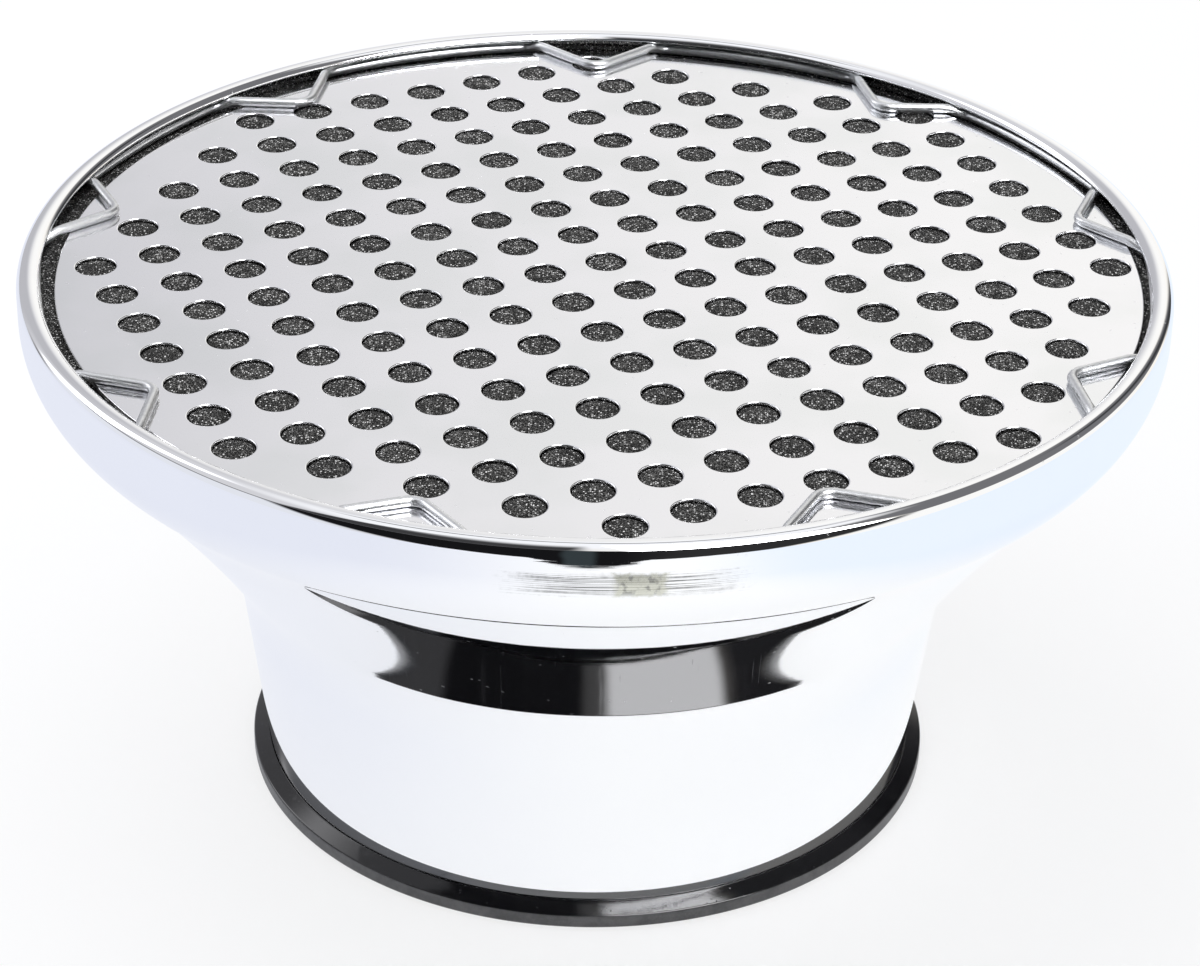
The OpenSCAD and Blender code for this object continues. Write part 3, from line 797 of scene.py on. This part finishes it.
def buildWire():
    form = wireForm
    pitch = 360 / form["jogs"]
    first = form["jogTurn"] - 2 * pitch
    front = first - pitch / 2
    endRadius = wireRadius * math.cos(math.radians(runLean))
    gap = math.degrees(math.asin(form["endGap"] / 2 / endRadius))
    path = [polar(front + gap, endRadius)]
    way = polar(front + gap + 90)
    for k in range(form["jogs"]):
        turn = Matrix.Rotation(math.radians(first + k * pitch + form["turns"][k]), 2)
        jog = [turn @ p for p in jogLine(form["jogDepth"] + form["depths"][k])]
        path += runLine(path[-1], way, jog[0], (jog[1] - jog[0]).normalized()) + jog
        way = (jog[-1] - jog[-2]).normalized()
    last = polar(front - gap, endRadius)
    path += runLine(path[-1], way, last, polar(front - gap + 90)) + [last]
    line = lineObject("wireLine", [(p.x, p.y, wireHeight(p.length)) for p in path], False)
    made = bake(line, wireTree, "jogged_wire",
                {"Wire Radius": form["diameter"] / 2 * mm, "Sides": form["sides"], "Finish": wireSteel})
    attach(made, "root")
    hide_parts("retainer_wire")
    return made


wire = buildWire()


# perforated grille

fieldRadius = plateRadius - plateForm["border"]
patternValues = {
    "Pitch": plateForm["pitch"] * mm, "Row Turn": math.radians(plateForm["rowTurn"]),
    "Field Radius": fieldRadius * mm, "Rows Across": 2 * math.ceil(fieldRadius / plateForm["pitch"]) + 1,
    "Pattern Place": (plateForm["patternSideways"] * mm, 0, 0),
    "Crown": plateForm["crown"] * mm, "Crown Radius": plateForm["crownRadius"] * mm,
}


def buildGrille():
    form = plateForm
    thick = form["thickness"]
    hole = form["holeDiameter"] / 2
    lip, under = form["lipRadius"], form["underRadius"]
    lipLine = (arcLine(Vector((hole + lip, thick - lip)), lip, 90, 180, 3)
               + arcLine(Vector((hole + under, under)), under, 180, 270, 1))
    # the lower corner leaves the wall straight, so the ring meets the same circle above and below
    lipLine[-1] = Vector((hole + lip, 0))
    edge = 0.25
    edgeLine = (arcLine(Vector((plateRadius - edge, edge)), edge, -90, 0, 3)
                + arcLine(Vector((plateRadius - edge, thick - edge)), edge, 0, 90, 3))
    edgeObject = lineObject("plateEdge", [(p.x, 0, p.y) for p in edgeLine], False)
    line = lineObject("holeLip", [(p.x, 0, p.y) for p in lipLine], False)
    made = bake(line, plateTree, "punched_grille", {
        **patternValues, "Edge": edgeObject,
        "Plate Place": (form["sideways"] * mm, 0, (plateTop - thick) * mm),
        "Cut Radius": (hole + lip) * mm, "Face Radius": (plateRadius - edge) * mm,
        "Thickness": thick * mm, "Lip Steps": form["lipSteps"], "Edge Steps": form["edgeSteps"],
        "Finish": grilleChrome})
    bpy.data.objects.remove(edgeObject)
    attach(made, "root")
    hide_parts("perforated_grille")
    return made


grille = buildGrille()


# foam element

foamForm = {
    "thickness": 30.0, "clearance": 0.3, "edgeRound": 1.2, "rowGap": 1.6, "stepsRound": 256,
    "lumpSize": 2.0, "lumpDepth": 0.16, "seed": 4,
    "tuftGap": 0.06, "tuftRoot": 2.5, "tuftShoulder": 0.65, "tuftHeight": 1.25, "tuftSteps": 16,
}


def buildFoam():
    form = foamForm
    top = plateTop - plateForm["thickness"] - form["clearance"]
    bottom = top - form["thickness"]
    depth = funnelForm["sheet"] + form["clearance"]
    rebate = wireRadius - wireForm["diameter"] / 2 - form["clearance"]
    shelf = wireLow - wireForm["diameter"] / 2 - form["clearance"]
    wall = [p for p in wallLine(depth, funnelForm["neckFoot"]) if bottom + 2.0 < p.y < shelf - 0.4]
    low = min(wall, key=lambda p: p.y)
    slope = (wall[1] - wall[0]).normalized()
    lowEdge = low - slope * ((low.y - bottom) / slope.y)
    inset = form["edgeRound"]
    outline = straightLine(Vector((0, bottom)), Vector((lowEdge.x - inset, bottom)), 0.3, form["rowGap"])
    outline += [lowEdge + Vector((-0.3 * inset, 0.25 * inset)), lowEdge + slope * inset]
    outline += wall
    outline += [Vector((rimRadius - depth, shelf - 0.3)), Vector((rimRadius - depth - 0.3, shelf))]
    outline += [Vector((rebate, shelf)), Vector((rebate - 0.1, top - 0.12))]
    outline += straightLine(Vector((rebate - 0.3, top)), Vector((0, top)), 0.3, form["rowGap"])
    line = lineObject("foamLine", [(p.x, 0, p.y) for p in outline], False)
    # each hole squeezes up a tuft, drawn here as a half outline about the tuft's own axis
    side = plateForm["holeDiameter"] / 2 - form["tuftGap"]
    rise = form["tuftHeight"] - form["tuftShoulder"]
    dome = [Vector((side * math.cos(a), form["tuftShoulder"] + rise * math.sin(a)))
            for a in (math.pi / 2 * k / 4 for k in range(5))]
    tuft = [Vector((0, -form["tuftRoot"])), Vector((side, -form["tuftRoot"]))] + dome
    tuft[-1].x = 0
    tuftObject = lineObject("tuftLine", [(p.x, 0, p.y) for p in tuft], False)
    made = bake(line, foamTree, "foam_pad", {
        **patternValues, "Tuft": tuftObject, "Tuft Steps": form["tuftSteps"],
        "Top Place": (plateForm["sideways"] * mm, 0, top * mm),
        "Steps Round": form["stepsRound"], "Lump Size": form["lumpSize"] * mm,
        "Lump Depth": form["lumpDepth"] * mm, "Seed": form["seed"], "Finish": openFoam})
    bpy.data.objects.remove(tuftObject)
    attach(made, "root")
    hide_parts("foam_element")
    return made


foam = buildFoam()


# hold-down bar

def buildBar():
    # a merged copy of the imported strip, with its sharp edges broken
    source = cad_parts["hold_down_bar"]
    mesh = source.data.copy()
    made = linkObject("stud_bar", mesh)
    weld = made.modifiers.new("weld", "WELD")
    weld.merge_threshold = 0.005 * mm
    rounded = made.modifiers.new("edges", "BEVEL")
    rounded.width = 0.25 * mm
    rounded.segments = 2
    rounded.limit_method = "ANGLE"
    rounded.angle_limit = math.radians(40)
    graph = bpy.context.evaluated_depsgraph_get()
    solid = bpy.data.meshes.new_from_object(made.evaluated_get(graph), depsgraph=graph)
    made.modifiers.clear()
    made.data = solid
    solid.materials.clear()
    solid.materials.append(zinc)
    solid.set_sharp_from_angle(angle=math.radians(35))
    print(f"stud_bar: {len(solid.polygons)} faces")
    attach(made, "root")
    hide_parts("hold_down_bar")
    return made


bar = buildBar()


# floor, backdrop light and camera

studio = {
    "floorTone": (0.93, 0.94, 0.97), "mirrorFloor": (1.05, 1.06, 1.07), "mirrorLeft": (0.75, 0.78, 0.89),
    "mirrorRight": (0.84, 0.93, 1.06),
    "floorFront": -0.294, "soft": 0.9,
}


def buildFloor():
    mesh = bpy.data.meshes.new("studio_floor")
    front = studio["floorFront"]
    mesh.from_pydata([(-3, front, 0), (3, front, 0), (3, 4, 0), (-3, 4, 0)], [], [(0, 1, 2, 3)])
    floor = linkObject("studio_floor", mesh)
    material = bpy.data.materials.new("paperSweep")
    material.use_nodes = True
    tree = material.node_tree
    tree.nodes.clear()
    spot = addNode(tree, "ShaderNodeTexCoord").outputs["Object"]
    axes = addNode(tree, "ShaderNodeSeparateXYZ", None, Vector=spot)
    # metal sees the paper shaded to the left and bluish far to the right
    seen = mixColor(tree, rampBetween(tree, axes.outputs[0], -0.18, 0.03), studio["mirrorLeft"], studio["mirrorFloor"])
    seen = mixColor(tree, rampBetween(tree, axes.outputs[0], 0.07, 0.17), seen, studio["mirrorRight"])
    paths = addNode(tree, "ShaderNodeLightPath")
    paper = addNode(tree, "ShaderNodeBsdfDiffuse", None, Color=(*studio["floorTone"], 1.0))
    glow = addNode(tree, "ShaderNodeEmission", None, Color=(1.0, 1.0, 1.0, 1.0), Strength=1.0)
    mirrorGlow = addNode(tree, "ShaderNodeEmission", None, Color=seen, Strength=1.0)
    shown = addNode(tree, "ShaderNodeMixShader")
    feed(tree, shown, 0, doMath(tree, "MULTIPLY", paths.outputs["Is Camera Ray"], 0.72))
    tree.links.new(paper.outputs[0], shown.inputs[1])
    tree.links.new(glow.outputs[0], shown.inputs[2])
    mirrored = addNode(tree, "ShaderNodeMixShader")
    reflected = doMath(tree, "MAXIMUM", paths.outputs["Is Glossy Ray"], paths.outputs["Is Transmission Ray"])
    feed(tree, mirrored, 0, doMath(tree, "MULTIPLY", reflected, 0.8))
    tree.links.new(shown.outputs[0], mirrored.inputs[1])
    tree.links.new(mirrorGlow.outputs[0], mirrored.inputs[2])
    out = tree.nodes.new("ShaderNodeOutputMaterial")
    tree.links.new(mirrored.outputs[0], out.inputs[0])
    mesh.materials.append(material)
    return floor


# directions are in degrees: azimuth 0 is towards the camera and grows to the right
room = {
    "archTop": 37.3, "archFall": 0.00163, "archSoft": 1.2,
    "leftEdge": (-63.0, 25.0, 0.57), "rightEdge": (65.0, 30.0, 0.51), "edgeSoft": 3.5,
    "black": (0.008, 0.008, 0.009), "rightBlack": (0.028, 0.028, 0.029), "post": (0.035, 0.045, 0.05),
    "lobe": (0.045, 0.045, 0.048), "hoop": (0.17, 0.17, 0.18), "bluish": (0.78, 0.80, 0.86),
    "farLeft": (0.50, 0.50, 0.53), "backLeft": (0.66, 0.66, 0.69), "back": (1.0, 0.99, 0.97),
    "warm": (1.0, 0.96, 0.89), "overhead": (0.96, 0.97, 1.0), "softbox": (10.5, 10.5, 10.7), "window": (3.0, 3.0, 3.1),
}


def inWindow(tree, value, low, high, soft):
    # one between two limits and none outside, with soft ends
    rise = rampBetween(tree, value, low - soft, low + soft)
    fall = rampBetween(tree, value, high - soft, high + soft, 1.0, 0.0)
    return doMath(tree, "MULTIPLY", rise, fall)


def buildWorld():
    # metal sees a white set with a dark doorway in front, and grey screens above it
    world = bpy.data.worlds.new("studioWorld")
    bpy.context.scene.world = world
    world.use_nodes = True
    tree = world.node_tree
    tree.nodes.clear()
    way = addNode(tree, "ShaderNodeTexCoord").outputs["Generated"]
    axes = addNode(tree, "ShaderNodeSeparateXYZ", None, Vector=way)
    x, y, z = axes.outputs[0], axes.outputs[1], axes.outputs[2]
    toFront = doMath(tree, "MULTIPLY", y, -1.0)
    azimuth = doMath(tree, "DEGREES", doMath(tree, "ARCTAN2", x, toFront))
    level = doMath(tree, "DEGREES", doMath(tree, "ARCSINE", z))
    lift = doMath(tree, "DEGREES", doMath(tree, "ARCTAN2", z, toFront))
    arch = doMath(tree, "MULTIPLY_ADD", doMath(tree, "POWER", doMath(tree, "ABSOLUTE", azimuth), 2.0),
                  -room["archFall"], room["archTop"])
    overArch = doMath(tree, "SUBTRACT", level, arch)
    above = rampBetween(tree, overArch, -room["archSoft"], room["archSoft"])
    below = doMath(tree, "SUBTRACT", 1.0, above)

    def layer(under, tone, *masks):
        share = masks[0]
        for mask in masks[1:]:
            share = doMath(tree, "MULTIPLY", share, mask)
        return mixColor(tree, share, under, tone)

    seen = mixColor(tree, rampBetween(tree, x, -0.28, 0.18), room["backLeft"], room["back"])
    seen = layer(seen, room["warm"], rampBetween(tree, x, 0.25, 0.6))
    seen = layer(seen, room["overhead"], rampBetween(tree, z, 0.75, 0.95))
    seen = layer(seen, room["farLeft"], inWindow(tree, azimuth, -168, -134, 8), inWindow(tree, level, -15, 40, 8))
    seen = layer(seen, room["window"], inWindow(tree, azimuth, -126, -106, 4), inWindow(tree, level, 12, 50, 8))
    seen = layer(seen, room["bluish"], inWindow(tree, azimuth, -120, -45, 8), below)
    seen = layer(seen, room["hoop"], inWindow(tree, azimuth, -130, -122, 5), inWindow(tree, level, -2, 6, 4))
    seen = layer(seen, room["hoop"], inWindow(tree, azimuth, -112, -62, 4), inWindow(tree, overArch, -2.5, 2.5, 1.5))
    seen = layer(seen, room["back"], inWindow(tree, azimuth, 45, 120, 8), below)
    seen = layer(seen, room["hoop"], inWindow(tree, azimuth, 64, 150, 4), above,
                 rampBetween(tree, level, 58, 66, 1.0, 0.0))
    band = doMath(tree, "MULTIPLY_ADD", level, 0.35, azimuth)
    seen = layer(seen, room["lobe"], inWindow(tree, band, 139, 150, 4), inWindow(tree, level, -18, 42, 5))
    seen = layer(seen, room["softbox"], inWindow(tree, azimuth, 9, 60, 3), above,
                 rampBetween(tree, level, 76, 84, 1.0, 0.0))
    seen = layer(seen, room["lobe"], inWindow(tree, azimuth, -64, -2, 3), above,
                 rampBetween(tree, level, 55, 84, 1.0, 0.0))
    seen = layer(seen, room["hoop"], inWindow(tree, lift, 104, 110, 1), inWindow(tree, x, -0.3, 0.3, 0.05))
    leftEdge, rightEdge = room["leftEdge"], room["rightEdge"]
    fromLeft = doMath(tree, "SUBTRACT", doMath(tree, "SUBTRACT", azimuth, leftEdge[0]),
                      doMath(tree, "MULTIPLY", doMath(tree, "SUBTRACT", leftEdge[1], level), leftEdge[2]))
    fromRight = doMath(tree, "SUBTRACT", doMath(tree, "SUBTRACT", rightEdge[0], azimuth),
                       doMath(tree, "MULTIPLY", doMath(tree, "SUBTRACT", rightEdge[1], level), rightEdge[2]))
    doorway = mixColor(tree, rampBetween(tree, azimuth, 4, 20), room["black"], room["rightBlack"])
    doorway = layer(doorway, room["post"], inWindow(tree, azimuth, -5, 1, 1))
    seen = layer(seen, doorway, below, rampBetween(tree, fromLeft, -room["edgeSoft"], room["edgeSoft"]),
                 rampBetween(tree, fromRight, -room["edgeSoft"], room["edgeSoft"]))
    paths = addNode(tree, "ShaderNodeLightPath")
    reflected = doMath(tree, "MAXIMUM", paths.outputs["Is Glossy Ray"], paths.outputs["Is Transmission Ray"])
    tone = mixColor(tree, reflected, (studio["soft"], studio["soft"], studio["soft"]), seen)
    tone = mixColor(tree, paths.outputs["Is Camera Ray"], tone, (1.0, 1.0, 1.0))
    ground = addNode(tree, "ShaderNodeBackground", None, Color=tone, Strength=1.0)
    out = tree.nodes.new("ShaderNodeOutputWorld")
    tree.links.new(ground.outputs[0], out.inputs[0])


def buildLamp(name, place, aim, size, power):
    lamp = bpy.data.lights.new(name, "AREA")
    lamp.shape = "RECTANGLE"
    lamp.size, lamp.size_y = size
    lamp.energy = power
    obj = bpy.data.objects.new(name, lamp)
    bpy.context.scene.collection.objects.link(obj)
    obj.location = place
    obj.rotation_euler = (Vector(aim) - Vector(place)).to_track_quat("-Z", "Y").to_euler()
    obj.visible_glossy = False
    obj.visible_camera = False
    return obj


def buildCamera():
    view = {"place": (0.0016856, -0.6397013, 0.4301131), "down": 30.0121, "roll": 1.1277, "lens": 107.37}
    data = bpy.data.cameras.new("photoCamera")
    data.sensor_fit = "HORIZONTAL"
    data.sensor_width = 36.0
    data.lens = view["lens"]
    data.clip_start = 0.01
    data.clip_end = 50.0
    camera = bpy.data.objects.new("photoCamera", data)
    bpy.context.scene.collection.objects.link(camera)
    aim = Euler((math.radians(90 - view["down"]), 0, 0)).to_matrix()
    roll = Matrix.Rotation(math.radians(view["roll"]), 3, "Z")
    camera.matrix_world = Matrix.Translation(view["place"]) @ (aim @ roll).to_4x4()
    bpy.context.scene.camera = camera
    return camera


buildFloor()
buildWorld()
buildLamp("softTop", (-0.3, 0.2, 0.9), (0, 0, 0.08), (0.8, 0.8), 2.5)
camera = buildCamera()
bpy.context.scene.view_settings.view_transform = "Standard"
print("studio and camera set")
